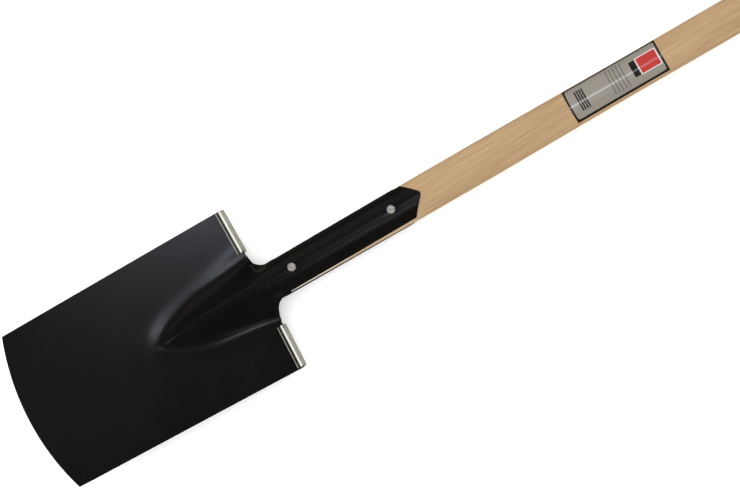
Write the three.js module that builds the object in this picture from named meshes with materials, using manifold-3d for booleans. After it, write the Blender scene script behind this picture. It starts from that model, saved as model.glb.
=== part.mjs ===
// Garden spade: a pressed steel blade with a front strap, a welded back strap, an ash shaft and a T-grip.
// Millimetres. X runs up the shaft from the shoulder line, Y across the blade, +Z out of the front face.

import * as THREE from 'three';
import { mergeVertices } from 'three/addons/utils/BufferGeometryUtils.js';
import Module from 'manifold-3d';

const wasm = await Module();
wasm.setup();

const degrees = Math.PI / 180;

// Fits shared by all pieces
const clearance = 0.3;
const overrun = 4;
const slopeStep = 0.001;

// Blade plate
const sheet = 2;
const bladeWidth = 185;
const edgeWidth = 177;
const sideLength = 262;
const edgeBulge = 16;
const edgeThickness = 1;
const grindLength = 14;
const bladeSeat = 4.5;
const bladeDish = 5;
const bladeBow = 3;
const liftAngle = 5 * degrees;

// Hollow ridge pressed into the blade below the neck
const ridgeLength = 112;
const ridgeCrestRadius = 10;
const ridgeFlank = 41 * degrees;
const ridgeFillet = 3;
const ridgeTaperPower = 0.6;

// Neck and straps
const neckRadius = 16;
const strapRadiusLow = 20.6;
const strapRadiusHigh = 21.2;
const frontStrapLength = 192.5;
const frontStrapPoint = 14;
const frontStrapPointRound = 5;
const frontStrapAngle = 64 * degrees;
const backStrapInset = 20.5;
const backStrapEndRound = 6;
const backStrapAngle = 95 * degrees;
const backNeckAngle = 108 * degrees;
const backNeckLength = 21;
const backNeckFade = 8;

// Foot of the back strap, welded to the back of the blade
const footLength = 64;
const footHalfWidth = 38;
const footEndHalfWidth = 24;
const footEndRound = 22;
const footHollowLength = 50;
const footFlank = 60 * degrees;
const footWeldLeg = 2.2;
const footWeldStart = 3;
const footWeldCrownShare = 2 / 3;
const neckWeldDepth = 1.4;
const neckWeldGap = 0.7;

// Rivets
const rivetLowPlace = 40.5;
const rivetHighInset = 34;
const rivetHeadRadius = 4.65;
const rivetHeadHeight = 2.1;
const rivetShankRadius = 2.5;

// Foot treads over the shoulder edges
const treadLength = 48.2;
const treadEndInset = 1;
const treadSheet = 1.2;
const treadLegReach = 6.5;
const treadRollCentre = 0.9;
const treadRollHalfHeight = 3.3;
const treadRollHalfWidth = 5;

// Shaft
const shaftConeTop = 24;
const shaftEndDepth = 22;
const shaftEndRadius = 13.6;
const shaftRadiusLow = 20.1;
const shaftRadiusHigh = 18.8;
const shaftInletRise = 10;
const shaftTaperStart = 240;
const shaftTaperEnd = 430;
const shaftLength = 863;
const gripNeckRadius = 16.2;
const gripNeckLength = 70;

// T-grip
const gripLength = 118;
const gripRadius = 17;
const gripEndRadius = 15.8;
const gripEndRound = 3;
const tenonRadius = 12;
const wedgeTopThickness = 3.2;
const wedgeTipThickness = 1.2;
const wedgeDepth = 12;
const pinRadius = 2.4;

// Foil label
const labelPlace = 366;
const labelLength = 106;
const labelAngle = 65 * degrees;
const labelThickness = 0.3;

// Facet counts
const neckColumns = 20;
const shoulderColumns = 5;
const ridgeRowShares = [0, 0.06, 0.13, 0.21, 0.3, 0.39, 0.48, 0.57, 0.66, 0.74, 0.81, 0.87, 0.92, 0.96, 1];
const plateRowShares = [0.03, 0.1, 0.3, 0.55, 0.8];
const neckRowShares = [0, 0.1, 0.2, 0.32, 0.45, 0.6, 0.78, 1];
const neckWeldRow = 2;
const strapRowShares = [0.1, 0.25, 0.4, 0.55, 0.7, 0.85, 1];
const footRowShares = [1, 0.9, 0.78, 0.65, 0.5, 0.35, 0.2, 0.1];
const backColumns = 22;
const lathePieces = 32;
const smallLathePieces = 20;

// Sizes worked out from the ones above
const bladeHalf = bladeWidth / 2;
const edgeHalf = edgeWidth / 2;
const edgeArcRadius = (edgeHalf ** 2 + edgeBulge ** 2) / (2 * edgeBulge);
const bladeLength = sideLength + edgeBulge;
const neckHalf = strapHalfWidth(0) + neckRadius;
const backStrapLength = frontStrapLength - backStrapInset;
const treadOuter = bladeHalf - treadEndInset;
const treadInner = treadOuter - treadLength;
const rivetHighPlace = frontStrapLength - rivetHighInset;
const gripAxis = shaftLength - gripRadius;
const rivetHoleRadius = rivetShankRadius + clearance;
const pinHoleRadius = pinRadius + clearance;
const boreRadius = tenonRadius + clearance;

function mix(a, b, share) {
  return a + (b - a) * share;
}

function smoothStep(share) {
  const s = Math.min(1, Math.max(0, share));
  return s * s * (3 - 2 * s);
}

function softMax(a, b, softness) {
  return (a + b + Math.hypot(a - b, softness)) / 2;
}

// Closed geometry helpers

function closedGeometry(points, triangles) {
  const geometry = new THREE.BufferGeometry();
  geometry.setAttribute('position', new THREE.Float32BufferAttribute(points.flatMap((p) => p.toArray()), 3));
  geometry.setIndex(triangles.flat());
  return geometry;
}

function toSolid(geometry) {
  const bare = geometry.clone();
  bare.deleteAttribute('normal');
  bare.deleteAttribute('uv');
  const merged = mergeVertices(bare);
  const index = merged.index.array;
  const kept = [];
  for (let i = 0; i < index.length; i += 3) {
    const [a, b, c] = index.slice(i, i + 3);
    if (a !== b && b !== c && c !== a) kept.push(a, b, c);
  }
  return new wasm.Manifold(new wasm.Mesh({
    numProp: 3,
    vertProperties: new Float32Array(merged.attributes.position.array),
    triVerts: new Uint32Array(kept),
  }));
}

function toGeometry(solid) {
  const mesh = solid.getMesh();
  const geometry = new THREE.BufferGeometry();
  geometry.setAttribute('position', new THREE.BufferAttribute(new Float32Array(mesh.vertProperties), 3));
  geometry.setIndex(new THREE.BufferAttribute(new Uint32Array(mesh.triVerts), 1));
  return geometry;
}

// A formed sheet: rows of points on its outer face, thickened inwards along their normals.
// Row direction times column direction points outwards; a missing point leaves its squares out.
function formedSheet(rows, thicknessAt) {
  const outer = [];
  const number = rows.map((row) => row.map((point) => (point ? outer.push(point) - 1 : -1)));
  const faces = [];
  for (let r = 0; r + 1 < rows.length; r += 1) {
    for (let c = 0; c + 1 < rows[r].length; c += 1) {
      const square = [number[r][c], number[r + 1][c], number[r + 1][c + 1], number[r][c + 1]];
      if (square.includes(-1)) continue;
      faces.push([square[0], square[1], square[2]], [square[0], square[2], square[3]]);
    }
  }
  const normals = sheetNormals(outer, faces);
  const inner = outer.map((point, i) => point.clone().addScaledVector(normals[i], -thicknessAt(point)));
  const count = outer.length;
  const edges = new Set(faces.flatMap(([a, b, c]) => [`${a},${b}`, `${b},${c}`, `${c},${a}`]));
  const walls = [];
  for (const edge of edges) {
    const [a, b] = edge.split(',').map(Number);
    if (!edges.has(`${b},${a}`)) walls.push([b, a, a + count], [b, a + count, b + count]);
  }
  const back = faces.map(([a, b, c]) => [c + count, b + count, a + count]);
  return closedGeometry([...outer, ...inner], [...faces, ...back, ...walls]);
}

function sheetNormals(points, faces) {
  const normals = points.map(() => new THREE.Vector3());
  for (const [a, b, c] of faces) {
    const u = points[b].clone().sub(points[a]);
    const v = points[c].clone().sub(points[a]);
    const area = u.cross(v);
    [a, b, c].forEach((i) => normals[i].add(area));
  }
  return normals.map((normal) => normal.normalize());
}

// Turns a closed geometry's triangles round if they face inwards.
function facingOut(geometry) {
  const place = geometry.attributes.position;
  const index = geometry.index.array;
  const corner = (i) => new THREE.Vector3().fromBufferAttribute(place, index[i]);
  let volume = 0;
  for (let i = 0; i < index.length; i += 3) volume += corner(i).dot(corner(i + 1).cross(corner(i + 2)));
  if (volume > 0) return geometry;
  for (let i = 0; i < index.length; i += 3) [index[i], index[i + 1]] = [index[i + 1], index[i]];
  return geometry;
}

// A closed loft through rings of equal length; cap is the flat outline that closes both ends.
function loft(rings, cap) {
  const points = rings.flat();
  const size = rings[0].length;
  const triangles = [];
  for (let r = 0; r + 1 < rings.length; r += 1) {
    for (let i = 0; i < size; i += 1) {
      const a = r * size + i;
      const b = r * size + ((i + 1) % size);
      triangles.push([a, b, b + size], [a, b + size, a + size]);
    }
  }
  const last = points.length - size;
  const clockwise = THREE.ShapeUtils.isClockWise(cap);
  for (const face of THREE.ShapeUtils.triangulateShape(cap, [])) {
    const [a, b, c] = clockwise ? face.reverse() : face;
    triangles.push([c, b, a], [a + last, b + last, c + last]);
  }
  return facingOut(closedGeometry(points, triangles));
}

function turned(profile, pieces = lathePieces) {
  return new THREE.LatheGeometry(profile.map(([radius, place]) => new THREE.Vector2(radius, place)), pieces);
}

// A cylinder along Y, centred on the origin.
function rod(radius, length, pieces = lathePieces) {
  return new THREE.CylinderGeometry(radius, radius, length, pieces);
}

// Surfaces

function strapRadius(x) {
  return mix(strapRadiusLow, strapRadiusHigh, Math.max(0, x) / frontStrapLength);
}

function strapHalfWidth(x) {
  return strapRadius(x) * Math.sin(frontStrapAngle);
}

function plateHeight(x, y) {
  const dish = bladeDish * (y / bladeHalf) ** 2;
  const bow = bladeBow * (Math.min(0, x) / bladeLength) ** 2;
  return dish + bow - bladeSeat - x * Math.tan(liftAngle);
}

// Height of a ridge with a round crest and straight flanks, at a distance y from its crest line.
function ridgeHeight(y, crest, radius, flank) {
  const reach = Math.abs(y);
  const roundReach = radius * Math.sin(flank);
  if (reach <= roundReach) return crest - radius + Math.sqrt(radius ** 2 - reach ** 2);
  return crest - radius * (1 - Math.cos(flank)) - (reach - roundReach) * Math.tan(flank);
}

// Height of the blade's front face, from the cutting edge to the end of the front strap.
function frontHeight(x, y) {
  const swell = Math.max(0, 1 + Math.min(0, x) / ridgeLength) ** ridgeTaperPower;
  if (swell === 0) return plateHeight(x, y);
  const rise = strapRadius(0) - plateHeight(0, 0);
  const crest = x >= 0 ? strapRadius(x) : plateHeight(x, 0) + rise * swell;
  const strapShare = smoothStep(x / neckRadius);
  const flank = mix(ridgeFlank, frontStrapAngle, strapShare);
  const radius = mix(ridgeCrestRadius, strapRadius(x), smoothStep((x + neckRadius) / (2 * neckRadius)));
  const softness = ridgeFillet * Math.sqrt(swell) * (1 - strapShare);
  return softMax(ridgeHeight(y, crest, radius, flank), plateHeight(x, y), softness);
}

// Height of the foot's outer face, which points away from the front.
function footHeight(x, y) {
  const flange = 2 * sheet + clearance - plateHeight(x, y);
  const share = Math.min(1, -Math.min(0, x) / footHollowLength);
  const swell = Math.sqrt(1 - share ** 2);
  const crestFlange = 2 * sheet + clearance - plateHeight(x, 0);
  const rise = strapRadius(0) - (2 * sheet + clearance - plateHeight(0, 0));
  const depth = ridgeHeight(y, crestFlange + rise * swell, strapRadius(x), footFlank);
  return -softMax(depth, flange, ridgeFillet * Math.sqrt(swell));
}

// Half the width of the blade's neck and front strap.
function neckEdge(x) {
  const reach = Math.max(0, neckRadius - x);
  return strapHalfWidth(x) + neckRadius - Math.sqrt(neckRadius ** 2 - reach ** 2);
}

// Blade

function edgePlace(y) {
  return sideLength + Math.sqrt(edgeArcRadius ** 2 - y ** 2) - Math.sqrt(edgeArcRadius ** 2 - edgeHalf ** 2);
}

function bladeColumns() {
  const columns = [];
  for (let i = 0; i <= neckColumns; i += 1) {
    const turn = mix(-1, 1, i / neckColumns) * frontStrapAngle;
    columns.push({ turnShare: Math.sin(turn) / Math.sin(frontStrapAngle) });
  }
  const widths = columns.map(({ turnShare }) => ({ turnShare, width: turnShare * neckHalf }));
  for (let i = 1; i <= shoulderColumns; i += 1) {
    const width = mix(neckHalf, bladeHalf, i / shoulderColumns);
    widths.push({ width });
    widths.unshift({ width: -width });
  }
  return widths;
}

function platePoint(width, centrePlace) {
  const end = edgePlace((width / bladeHalf) * edgeHalf);
  const toeShare = Math.max(0, centrePlace - ridgeLength) / (bladeLength - ridgeLength);
  const x = -mix(Math.min(centrePlace, ridgeLength), end, toeShare);
  const y = (width / bladeHalf) * mix(bladeHalf, edgeHalf, -x / end);
  return new THREE.Vector3(x, y, frontHeight(x, y));
}

function neckPoint(turnShare, x) {
  const y = turnShare * neckEdge(x);
  return new THREE.Vector3(x, y, frontHeight(x, y));
}

function strapPoint(turnShare, lengthShare) {
  const corner = frontStrapLength - frontStrapPoint;
  const across = turnShare * strapHalfWidth(corner);
  const drop = Math.hypot(across, frontStrapPointRound) - frontStrapPointRound;
  const fullDrop = Math.hypot(strapHalfWidth(corner), frontStrapPointRound) - frontStrapPointRound;
  const end = frontStrapLength - frontStrapPoint * (drop / fullDrop);
  return neckPoint(turnShare, mix(neckRadius, end, lengthShare));
}

function bladeThickness(point) {
  const left = edgePlace(point.y) + point.x;
  return mix(edgeThickness, sheet, Math.min(1, Math.max(0, left / grindLength)));
}

function bladeRows() {
  const columns = bladeColumns();
  const toePlaces = plateRowShares.map((share) => mix(ridgeLength, bladeLength, share));
  const places = [...ridgeRowShares.map((share) => share * ridgeLength), ...toePlaces];
  places.push(bladeLength - grindLength, bladeLength);
  const plate = places.reverse().map((place) => columns.map(({ width }) => platePoint(width, place)));
  const row = (make) => columns.map(({ turnShare }) => (turnShare === undefined ? null : make(turnShare)));
  const neck = neckRowShares.slice(1).map((share) => row((turn) => neckPoint(turn, share * neckRadius)));
  const strap = strapRowShares.map((share) => row((turn) => strapPoint(turn, share)));
  return [...plate, ...neck, ...strap];
}

function rivetHole(x) {
  const length = 2 * (strapRadiusHigh + overrun);
  return toSolid(rod(rivetHoleRadius, length, smallLathePieces).rotateX(Math.PI / 2).translate(x, 0, 0));
}

function bladeGeometry() {
  const pressing = toSolid(formedSheet(bladeRows(), bladeThickness));
  return toGeometry(pressing.subtract(rivetHole(rivetLowPlace)).subtract(rivetHole(rivetHighPlace)));
}

// Back strap

function backAngle(x) {
  return mix(backNeckAngle, backStrapAngle, smoothStep((x - backNeckLength) / backNeckFade));
}

// A point of the back strap's outer face: turn runs from -1 on the left edge to 1 on the right.
function backPoint(turn, x) {
  const angle = turn * backAngle(x);
  const radius = strapRadius(x);
  const tube = new THREE.Vector3(x, -radius * Math.sin(angle), -radius * Math.cos(angle));
  if (x >= neckRadius) return tube;
  const y = -turn * footEdge(x);
  const flange = new THREE.Vector3(x, y, footHeight(x, y));
  return flange.lerp(tube, smoothStep(x / neckRadius));
}

// Half the width of the foot, which follows the neck above the shoulder line.
function footEdge(x) {
  const share = Math.min(1, -Math.min(0, x) / footLength);
  if (x < 0) return mix(footHalfWidth, footEndHalfWidth, share);
  return neckEdge(x) + footHalfWidth - neckHalf;
}

function footPlace(turn, share) {
  return -share * (footLength - footEndRound * turn ** 2);
}

function backEnd(turn) {
  return backStrapLength - backStrapEndRound * turn ** 4;
}

function backRows() {
  const turns = Array.from({ length: backColumns + 1 }, (_, i) => mix(-1, 1, i / backColumns));
  const foot = footRowShares.map((share) => turns.map((turn) => backPoint(turn, footPlace(turn, share))));
  const neck = neckRowShares.map((share) => turns.map((turn) => backPoint(turn, share * neckRadius)));
  const fades = [backNeckLength, backNeckLength + backNeckFade / 2, backNeckLength + backNeckFade];
  const fade = fades.map((place) => turns.map((turn) => backPoint(turn, place)));
  const top = fades.at(-1);
  const tube = strapRowShares.slice(1).map((share) => (
    turns.map((turn) => backPoint(turn, mix(top, backEnd(turn), share)))
  ));
  return [...foot, ...neck, ...fade, ...tube];
}

function backStrapGeometry() {
  const pressing = toSolid(formedSheet(backRows(), () => sheet));
  return toGeometry(pressing.subtract(rivetHole(rivetLowPlace)).subtract(rivetHole(rivetHighPlace)));
}

// Welds

// The point a weld's depth behind a sheet's outer face, where point(u, v) gives that face.
function innerPoint(point, u, v) {
  const along = point(u + slopeStep, v).sub(point(u - slopeStep, v));
  const across = point(u, v + slopeStep).sub(point(u, v - slopeStep));
  return point(u, v).addScaledVector(along.cross(across).normalize(), -neckWeldDepth);
}

// The bead that closes the slot between the neck's edge and the back strap's edge on one side.
function neckWeldGeometry(side) {
  const front = (x, turn) => neckPoint(turn, x);
  const back = (x, turn) => backPoint(turn, x);
  const between = (a, b) => {
    const gap = b.clone().sub(a).normalize().multiplyScalar(neckWeldGap);
    return [a.clone().add(gap), b.clone().sub(gap)];
  };
  const rings = [];
  const places = [...neckRowShares.slice(neckWeldRow).map((share) => share * neckRadius), backNeckLength];
  for (const x of places) {
    const [frontOuter, backOuter] = between(front(x, side), back(x, -side));
    const [frontInner, backInner] = between(innerPoint(front, x, side), innerPoint(back, x, -side));
    const crown = frontOuter.clone().add(backOuter).divideScalar(2);
    crown.y += side * clearance;
    rings.push([frontOuter, crown, backOuter, backInner, frontInner]);
  }
  const cap = rings[0].map((point) => new THREE.Vector2(point.y, point.z));
  return loft(rings, cap);
}

// The fillet bead along one side of the foot, on the back of the blade.
function footWeldGeometry(side) {
  const stations = 8;
  const end = -footPlace(1, 1) - footWeldStart;
  const rings = [];
  for (let i = 0; i <= stations; i += 1) {
    const x = -mix(end, footWeldStart, i / stations);
    const y = side * (footEdge(x) + clearance);
    const z = plateHeight(x, y) - sheet - clearance;
    const corner = new THREE.Vector3(x, y, z);
    const outer = new THREE.Vector3(x, y + side * footWeldLeg, z);
    const lower = new THREE.Vector3(x, y, z - footWeldLeg);
    const reach = footWeldLeg * footWeldCrownShare;
    const crown = new THREE.Vector3(x, y + side * reach, z - reach);
    const ring = [corner, lower, crown, outer];
    rings.push(ring);
  }
  const cap = rings[0].map((point) => new THREE.Vector2(point.y, point.z));
  return loft(rings, cap);
}

// Rivets

function rivetGeometry(place) {
  const base = strapRadius(place) + clearance;
  const top = base + rivetHeadHeight;
  const domeRadius = (rivetHeadRadius ** 2 + rivetHeadHeight ** 2) / (2 * rivetHeadHeight);
  const domeAngle = Math.asin(rivetHeadRadius / domeRadius);
  const dome = [0, 1, 2, 3].map((step) => {
    const turn = (domeAngle * step) / 3;
    return [domeRadius * Math.sin(turn), top - domeRadius * (1 - Math.cos(turn))];
  });
  const half = [...dome, [rivetShankRadius, base]];
  const profile = [...half.map(([radius, height]) => [radius, -height]), ...half.reverse()];
  return turned(profile, smallLathePieces).rotateX(Math.PI / 2).translate(place, 0, 0);
}

// Treads

function treadProfile() {
  const innerFace = sheet / 2 + clearance;
  const outerFace = innerFace + treadSheet;
  const roll = (halfHeight, halfWidth, face, steps) => {
    const start = Math.asin(face / halfWidth);
    return Array.from({ length: steps + 1 }, (_, i) => {
      const turn = mix(start, 2 * Math.PI - start, i / steps);
      return [-treadRollCentre - halfHeight * Math.cos(turn), halfWidth * Math.sin(turn)];
    });
  };
  const outer = roll(treadRollHalfHeight, treadRollHalfWidth, outerFace, 14);
  const inner = roll(treadRollHalfHeight - treadSheet, treadRollHalfWidth - treadSheet, innerFace, 10);
  const tips = [[-treadLegReach, -outerFace], [-treadLegReach, -innerFace]];
  return [...outer, ...tips, ...inner.reverse(), ...tips.reverse().map(([reach, face]) => [reach, -face])];
}

function treadGeometry(side) {
  const stations = 6;
  const profile = treadProfile();
  const rings = Array.from({ length: stations + 1 }, (_, i) => {
    const y = side * mix(treadInner, treadOuter, i / stations);
    const legMiddle = -treadLegReach / 2;
    const seat = frontHeight(legMiddle, y) + legMiddle * Math.tan(liftAngle) - sheet / 2;
    return profile.map(([along, out]) => {
      const x = along * Math.cos(liftAngle) + out * Math.sin(liftAngle);
      return new THREE.Vector3(x, y, seat - along * Math.sin(liftAngle) + out * Math.cos(liftAngle));
    });
  });
  const cap = profile.map(([along, out]) => new THREE.Vector2(along, out));
  return loft(rings, cap);
}

// Shaft

function shaftProfile() {
  const socket = (x) => strapRadius(x) - sheet - clearance;
  const inletEnd = frontStrapLength + clearance;
  return [
    [shaftEndRadius, -shaftEndDepth],
    [socket(shaftConeTop), shaftConeTop],
    [socket(inletEnd), inletEnd],
    [shaftRadiusLow, inletEnd + shaftInletRise],
    [shaftRadiusLow, shaftTaperStart],
    [shaftRadiusHigh, shaftTaperEnd],
    [shaftRadiusHigh, gripAxis - gripRadius - gripNeckLength],
    [gripNeckRadius, gripAxis - gripRadius],
    [gripNeckRadius, gripAxis],
  ];
}

function shaftRadius(x) {
  const profile = shaftProfile();
  const next = profile.findIndex(([, place]) => place > x);
  const [low, high] = [profile[next - 1], profile[next]];
  return mix(low[0], high[0], (x - low[1]) / (high[1] - low[1]));
}

// The grip's round envelope, grown by a margin, as a rod across the shaft.
function gripEnvelope(margin) {
  return toSolid(rod(gripRadius + margin, gripLength).translate(gripAxis, 0, 0));
}

function tenon(radius, length) {
  const bar = rod(radius, length).rotateZ(-Math.PI / 2);
  return toSolid(bar.translate(gripAxis + gripRadius - length / 2, 0, 0));
}

function wedgePrism(margin) {
  const top = wedgeTopThickness / 2 + margin;
  const tip = wedgeTipThickness / 2 + margin;
  const outline = new THREE.Shape([
    new THREE.Vector2(shaftLength - wedgeDepth - margin, -tip),
    new THREE.Vector2(shaftLength + overrun, -top),
    new THREE.Vector2(shaftLength + overrun, top),
    new THREE.Vector2(shaftLength - wedgeDepth - margin, tip),
  ]);
  const width = 2 * (tenonRadius + overrun);
  const prism = new THREE.ExtrudeGeometry(outline, { depth: width, bevelEnabled: false });
  return toSolid(prism.translate(0, 0, -width / 2));
}

function pinBar(radius) {
  const length = 2 * (gripRadius - clearance);
  return rod(radius, length, smallLathePieces).rotateX(Math.PI / 2).translate(gripAxis, 0, 0);
}

function pinHole() {
  const length = 2 * (gripRadius + overrun);
  return toSolid(rod(pinHoleRadius, length, smallLathePieces).rotateX(Math.PI / 2).translate(gripAxis, 0, 0));
}

function shaftGeometry() {
  const profile = shaftProfile();
  const closed = [[0, profile[0][1]], ...profile, [0, gripAxis]];
  const bar = toSolid(turned(closed).rotateZ(-Math.PI / 2));
  const coped = bar.subtract(gripEnvelope(clearance));
  const end = tenon(tenonRadius, 2 * gripRadius + overrun).intersect(crownedBlock());
  const whole = coped.add(end).subtract(wedgePrism(clearance)).subtract(pinHole());
  return toGeometry(whole.subtract(rivetHole(rivetLowPlace)).subtract(rivetHole(rivetHighPlace)));
}

// Everything below the grip's crown, so that what it cuts ends flush with the grip's round top.
function crownedBlock() {
  const depth = 2 * gripRadius + 2 * overrun;
  const block = new THREE.BoxGeometry(depth, gripLength, 2 * gripRadius);
  return toSolid(block.translate(gripAxis - depth / 2, 0, 0)).add(gripEnvelope(0));
}

// T-grip

function gripGeometry() {
  const half = gripLength / 2;
  const round = [0, 1, 2, 3].map((step) => {
    const turn = (Math.PI / 2) * (step / 3);
    return [
      gripEndRadius - gripEndRound * (1 - Math.sin(turn)),
      half - gripEndRound * (1 - Math.cos(turn)),
    ];
  });
  const barrelShares = [0.75, 0.5, 0.25];
  const barrel = barrelShares.map((share) => {
    return [mix(gripRadius, gripEndRadius, share ** 2), share * (half - gripEndRound)];
  });
  const upper = [[0, half], ...round, ...barrel, [gripRadius, 0]];
  const lower = upper.slice(0, -1).map(([radius, place]) => [radius, -place]);
  const profile = [...lower, ...upper.reverse()];
  const body = toSolid(turned(profile).translate(gripAxis, 0, 0));
  const bore = tenon(boreRadius, 2 * gripRadius + 2 * overrun);
  return toGeometry(body.subtract(bore).subtract(boreEnd()).subtract(pinHole()));
}

// The bore's upper stretch, which runs out past the crown.
function boreEnd() {
  const length = gripRadius + overrun;
  return toSolid(rod(boreRadius, length).rotateZ(-Math.PI / 2).translate(gripAxis + length / 2, 0, 0));
}

function wedgeGeometry() {
  const length = wedgeDepth + 2 * overrun;
  const inTenon = wedgePrism(0).intersect(tenon(tenonRadius, length));
  return toGeometry(inTenon.intersect(gripEnvelope(0)));
}

// Label

function labelGeometry() {
  const rowsCount = 4;
  const columnsCount = 14;
  const rows = Array.from({ length: rowsCount + 1 }, (_, r) => {
    const x = labelPlace + labelLength * (r / rowsCount);
    const radius = shaftRadius(x) + clearance + labelThickness;
    return Array.from({ length: columnsCount + 1 }, (__, c) => {
      const turn = mix(-1, 1, c / columnsCount) * labelAngle;
      return new THREE.Vector3(x, radius * Math.sin(turn), radius * Math.cos(turn));
    });
  });
  return formedSheet(rows, () => labelThickness);
}

// Materials

const blackSteel = { color: 0x202022, roughness: 0.4, metalness: 0.6 };
const brightSteel = { color: 0xb9b8b4, roughness: 0.3, metalness: 1 };
const ashWood = { color: 0xc4a881, roughness: 0.6, metalness: 0 };
const silverFoil = { color: 0x9a968e, roughness: 0.35, metalness: 0.8 };

const tool = new THREE.Group();

function addPiece(name, geometry, finish) {
  const piece = new THREE.Mesh(geometry, new THREE.MeshStandardMaterial(finish));
  piece.name = name;
  tool.add(piece);
}

addPiece('blade', bladeGeometry(), blackSteel);
addPiece('back_strap', backStrapGeometry(), blackSteel);
addPiece('neck_weld_left', neckWeldGeometry(1), blackSteel);
addPiece('neck_weld_right', neckWeldGeometry(-1), blackSteel);
addPiece('foot_weld_left', footWeldGeometry(1), blackSteel);
addPiece('foot_weld_right', footWeldGeometry(-1), blackSteel);
addPiece('tread_left', treadGeometry(1), brightSteel);
addPiece('tread_right', treadGeometry(-1), brightSteel);
addPiece('rivet_lower', rivetGeometry(rivetLowPlace), brightSteel);
addPiece('rivet_upper', rivetGeometry(rivetHighPlace), brightSteel);
addPiece('shaft', shaftGeometry(), ashWood);
addPiece('label', labelGeometry(), silverFoil);
addPiece('grip_crosspiece', gripGeometry(), ashWood);
addPiece('grip_wedge', wedgeGeometry(), ashWood);
addPiece('grip_pin', pinBar(pinRadius), brightSteel);

// The origin is the middle of the bounding box's underside, with the spade lying on its back.
const bounds = new THREE.Box3().setFromObject(tool);
const middle = bounds.getCenter(new THREE.Vector3());
tool.position.set(-middle.x, -middle.y, -bounds.min.z);

const spade = new THREE.Group();
spade.add(tool);

export default spade;
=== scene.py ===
"""Garden spade: its looks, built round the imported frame.

Shapes are worked out in millimetres from the shoulder line: X runs up the shaft, Y across the blade and Z
out of the front face, with the shaft's axis at Y = Z = 0. new_object() puts them into the frame, in metres.
"""
import math

import bpy
import numpy as np
from mathutils import Matrix, Vector


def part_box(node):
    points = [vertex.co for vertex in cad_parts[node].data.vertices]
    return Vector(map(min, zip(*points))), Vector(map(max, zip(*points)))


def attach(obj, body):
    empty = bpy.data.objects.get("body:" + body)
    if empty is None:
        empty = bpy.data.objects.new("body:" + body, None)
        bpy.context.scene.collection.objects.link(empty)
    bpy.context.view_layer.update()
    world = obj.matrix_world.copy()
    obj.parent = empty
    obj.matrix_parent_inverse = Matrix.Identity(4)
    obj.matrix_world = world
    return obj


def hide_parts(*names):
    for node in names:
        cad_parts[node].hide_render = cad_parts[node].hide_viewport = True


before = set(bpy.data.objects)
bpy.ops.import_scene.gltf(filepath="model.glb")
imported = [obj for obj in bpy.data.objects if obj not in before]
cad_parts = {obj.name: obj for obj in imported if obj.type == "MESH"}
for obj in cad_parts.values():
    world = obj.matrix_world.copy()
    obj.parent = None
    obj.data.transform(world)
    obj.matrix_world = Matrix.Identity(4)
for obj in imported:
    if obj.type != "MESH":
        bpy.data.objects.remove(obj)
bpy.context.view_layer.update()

MM = 0.001

# Fits and edge rounding shared by all pieces
CLEARANCE = 0.3
OVERRUN = 4
SHEET_EDGE_ROUND = 0.4

# Blade plate
SHEET = 2
BLADE_WIDTH = 185
EDGE_WIDTH = 177
SIDE_LENGTH = 262
EDGE_BULGE = 16
EDGE_THICKNESS = 1
EDGE_INSET = 0.1
GRIND_LENGTH = 14
BLADE_SEAT = 4.5
BLADE_DISH = 5
BLADE_BOW = -2
LIFT = math.tan(math.radians(5.95))

# Ridge pressed into the blade, and the shallow draw-in of the plate beside it
RIDGE_LENGTH = 112
RIDGE_CREST_RADIUS = 10
RIDGE_TIP_RADIUS = 3.5
RIDGE_TIP_RADIUS_REACH = 45
RIDGE_FLANK = math.radians(41)
RIDGE_FILLET = 15
RIDGE_FILLET_NECK = 5
RIDGE_FILLET_FADE = 75
FILLET_LEAST = 0.01
RIDGE_TAPER_POWER = 0.6
RIDGE_TIP_EASE = 1.6
DRAW_IN_DEPTH = 0.55
DRAW_IN_TIP_DEPTH = 0.8
DRAW_IN_TIP_REACH = 26
DRAW_IN_NECK_DEPTH = 1
DRAW_IN_NECK_REACH = 34
DRAW_IN_PLACE = 7
DRAW_IN_REACH = 10
TIP_HOLLOW_DEPTH = 0.5
TIP_HOLLOW_RADIUS = 42

# Neck and straps
NECK_RADIUS = 20
STRAP_RADIUS_LOW = 19.8
STRAP_RADIUS_HIGH = 20.8
FRONT_STRAP_LENGTH = 192.5
FRONT_STRAP_POINT = 16.5
FRONT_STRAP_POINT_ROUND = 2.5
FRONT_STRAP_ANGLE_LOW = math.radians(71.5)
FRONT_STRAP_ANGLE_HIGH = math.radians(62.5)
BACK_STRAP_LENGTH = 172
BACK_STRAP_END_ROUND = 6
BACK_STRAP_ANGLE_LOW = math.radians(101)
BACK_STRAP_ANGLE_HIGH = math.radians(93)
BACK_NECK_LENGTH = 25
NECK_MARK_PLACE = (12.5, -3.5)
NECK_MARK_RADIUS = 1.1
NECK_MARK_DEPTH = 0.45

# Foot of the back strap and the weld beads
FOOT_LENGTH = 64
FOOT_HALF_WIDTH = 38
FOOT_END_HALF_WIDTH = 24
FOOT_END_ROUND = 22
FOOT_HOLLOW_LENGTH = 50
FOOT_FLANK = math.radians(60)
FOOT_WELD_LEG = 2.2
FOOT_WELD_START = 3
FOOT_WELD_END_SHARE = 0.15
NECK_WELD_START = 3.6
NECK_WELD_DEPTH = 1.4
NECK_WELD_GAP = 0.25
WELD_RIPPLE_PITCH = 1.5
WELD_RIPPLE_HEIGHT = 0.16

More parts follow.
